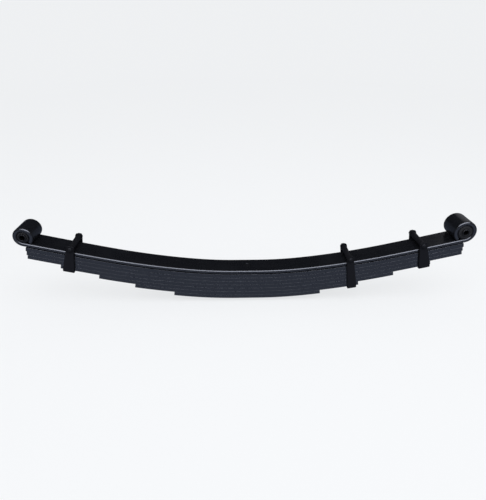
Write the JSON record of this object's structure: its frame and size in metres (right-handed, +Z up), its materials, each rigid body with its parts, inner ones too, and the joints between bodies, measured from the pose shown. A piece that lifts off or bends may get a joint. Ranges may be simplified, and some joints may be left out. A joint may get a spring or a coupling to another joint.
{
  "type": "leaf spring",
  "caption": "Black multi-leaf suspension spring: stacked curved leaves, rolled eyes with rubber bushes, centre bolt and riveted rebound clips.",
  "frame": {"origin": "lowest point of the spring, under the centre bolt, on the leaves' middle plane", "axes": "+X along the spring from the left eye to the right eye, +Y across the leaves, +Z up from the convex side towards the eyes"},
  "size_m": [1.2558, 0.0966, 0.2452],
  "materials": {
    "leaf_paint": "semi-gloss black",
    "clip_paint": "semi-gloss black",
    "fastener_paint": "semi-gloss black",
    "sleeve_steel": "dull phosphated steel",
    "bush_rubber": "matte"
  },
  "bodies": {
    "leaf_pack": {"main_leaf": "leaf_paint", "leaf_2": "leaf_paint", "leaf_3": "leaf_paint", "leaf_4": "leaf_paint", "leaf_5": "leaf_paint", "leaf_6": "leaf_paint", "leaf_7": "leaf_paint", "leaf_8": "leaf_paint", "centre_bolt": "fastener_paint", "centre_nut": "fastener_paint"},
    "left_end": {"left_eye_outer_sleeve": "sleeve_steel", "left_eye_rubber_bush": "bush_rubber", "left_clip_strap": "clip_paint", "left_clip_rivet": "fastener_paint", "left_clip_bolt": "fastener_paint", "left_clip_spacer": "clip_paint", "left_clip_nut": "fastener_paint"},
    "right_end": {"right_eye_outer_sleeve": "sleeve_steel", "right_eye_rubber_bush": "bush_rubber", "right_inner_clip_strap": "clip_paint", "right_inner_clip_rivet": "fastener_paint", "right_inner_clip_bolt": "fastener_paint", "right_inner_clip_spacer": "clip_paint", "right_inner_clip_nut": "fastener_paint", "right_outer_clip_strap": "clip_paint", "right_outer_clip_rivet": "fastener_paint", "right_outer_clip_bolt": "fastener_paint", "right_outer_clip_spacer": "clip_paint", "right_outer_clip_nut": "fastener_paint"},
    "left_eye_sleeve": {"left_eye_inner_sleeve": "sleeve_steel"},
    "right_eye_sleeve": {"right_eye_inner_sleeve": "sleeve_steel"}
  },
  "joints": [
    {"name": "left_flex", "type": "hinge", "parent": "leaf_pack", "child": "left_end", "pos_m": [-0.155, 0, 0.1012], "axis": [0, -1, 0], "range_deg": [-1.5, 9.5], "stiffness_Nm_per_rad": 20000, "deforming": ["main_leaf", "leaf_2", "leaf_3", "leaf_4", "leaf_5", "leaf_6", "leaf_7", "leaf_8"]},
    {"name": "right_flex", "type": "hinge", "parent": "leaf_pack", "child": "right_end", "pos_m": [0.155, 0, 0.1012], "axis": [0, 1, 0], "range_deg": [-1.5, 9.5], "stiffness_Nm_per_rad": 20000, "deforming": ["main_leaf", "leaf_2", "leaf_3", "leaf_4", "leaf_5", "leaf_6", "leaf_7", "leaf_8"]},
    {"name": "left_bush_twist", "type": "hinge", "parent": "left_end", "child": "left_eye_sleeve", "pos_m": [-0.601, 0, 0.21017], "axis": [0, 1, 0], "range_deg": [-20, 20], "stiffness_Nm_per_rad": 80},
    {"name": "right_bush_twist", "type": "hinge", "parent": "right_end", "child": "right_eye_sleeve", "pos_m": [0.5965, 0, 0.2137], "axis": [0, 1, 0], "range_deg": [-20, 20], "stiffness_Nm_per_rad": 80}
  ]
}
